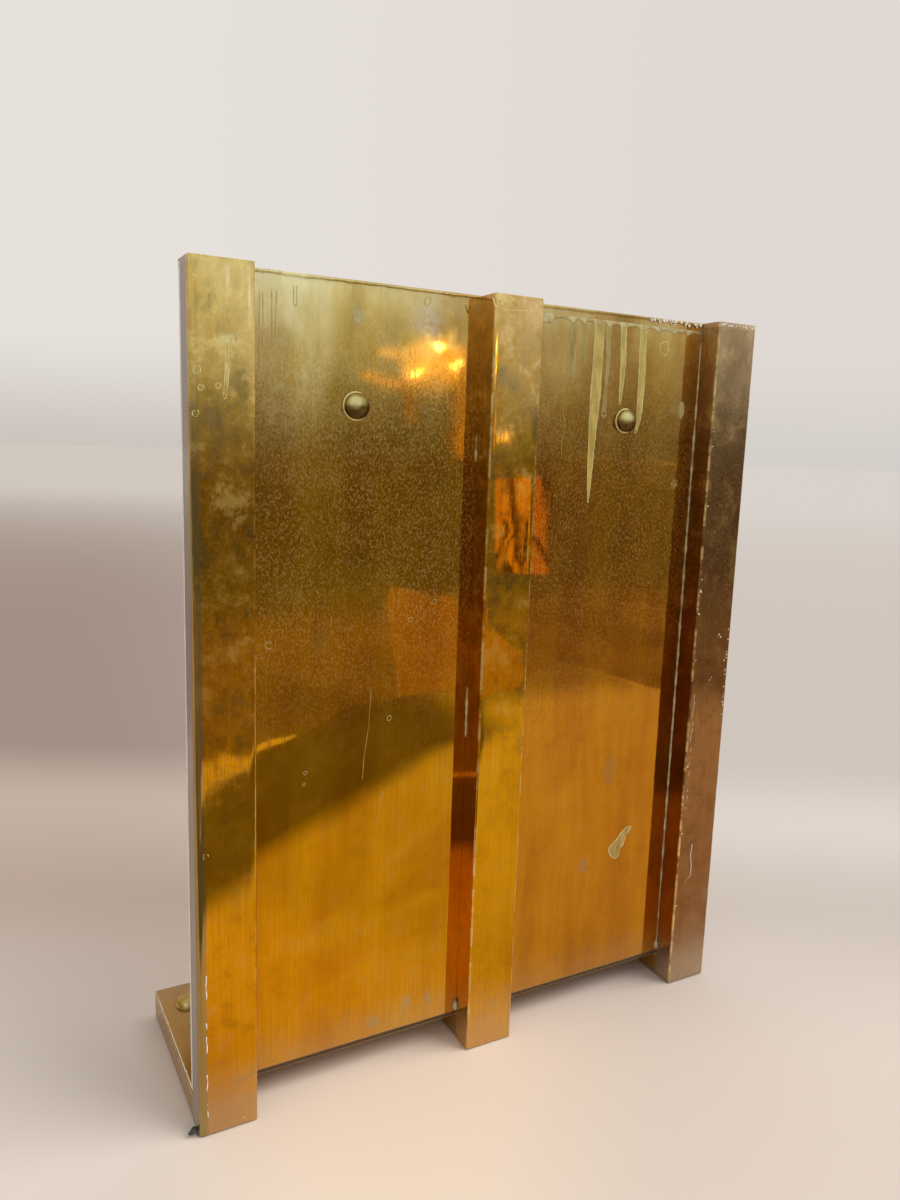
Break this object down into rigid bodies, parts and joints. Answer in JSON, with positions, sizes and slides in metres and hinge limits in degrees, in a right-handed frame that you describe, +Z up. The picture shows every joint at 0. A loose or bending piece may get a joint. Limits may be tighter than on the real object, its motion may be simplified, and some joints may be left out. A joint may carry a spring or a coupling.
{
  "type": "magazine rack",
  "caption": "Free-standing L-shaped magazine rack: brass-clad ribbed upright panel on a shallow shelf with rib feet and domed studs.",
  "frame": {"origin": "on the floor, under the middle of the rack's footprint", "axes": "+Z up, +X along the width, -Y the ribbed outer side, +Y the side where the magazines stand"},
  "size_m": [0.454, 0.148, 0.57],
  "materials": {
    "rib_brass": "aged, lacquered, brushed along the rib",
    "sheet_brass": "aged, lacquered, fine vertical grain, speckled",
    "stud_brass": "satin, slightly worn",
    "wood": "plain planed softwood",
    "hardboard": "raw dark hardboard edge",
    "felt": "pressed felt"
  },
  "bodies": {
    "root": {"left_post_batten": "wood", "left_post_cladding": "rib_brass", "left_post_cap": "rib_brass", "left_foot_batten": "wood", "left_foot_cladding": "rib_brass", "left_foot_end_cap": "rib_brass", "left_corner_dowel": "wood", "left_front_pad": "felt", "left_rear_pad": "felt", "left_shelf_stud_ring": "stud_brass", "left_shelf_stud": "stud_brass", "middle_post_batten": "wood", "middle_post_cladding": "rib_brass", "middle_post_cap": "rib_brass", "middle_foot_batten": "wood", "middle_foot_cladding": "rib_brass", "middle_foot_end_cap": "rib_brass", "middle_corner_dowel": "wood", "middle_front_pad": "felt", "middle_rear_pad": "felt", "middle_shelf_stud_ring": "stud_brass", "middle_shelf_stud": "stud_brass", "right_post_batten": "wood", "right_post_cladding": "rib_brass", "right_post_cap": "rib_brass", "right_foot_batten": "wood", "right_foot_cladding": "rib_brass", "right_foot_end_cap": "rib_brass", "right_corner_dowel": "wood", "right_front_pad": "felt", "right_rear_pad": "felt", "right_shelf_stud_ring": "stud_brass", "right_shelf_stud": "stud_brass", "panel_front_sheet": "sheet_brass", "panel_rear_sheet": "sheet_brass", "shelf_top_sheet": "sheet_brass", "shelf_under_sheet": "sheet_brass", "panel_top_strip": "rib_brass", "panel_board": "hardboard", "shelf_board": "hardboard", "left_panel_stud_ring": "stud_brass", "left_panel_stud": "stud_brass", "left_panel_cap_nut": "stud_brass", "right_panel_stud_ring": "stud_brass", "right_panel_stud": "stud_brass", "right_panel_cap_nut": "stud_brass"}
  },
  "joints": []
}
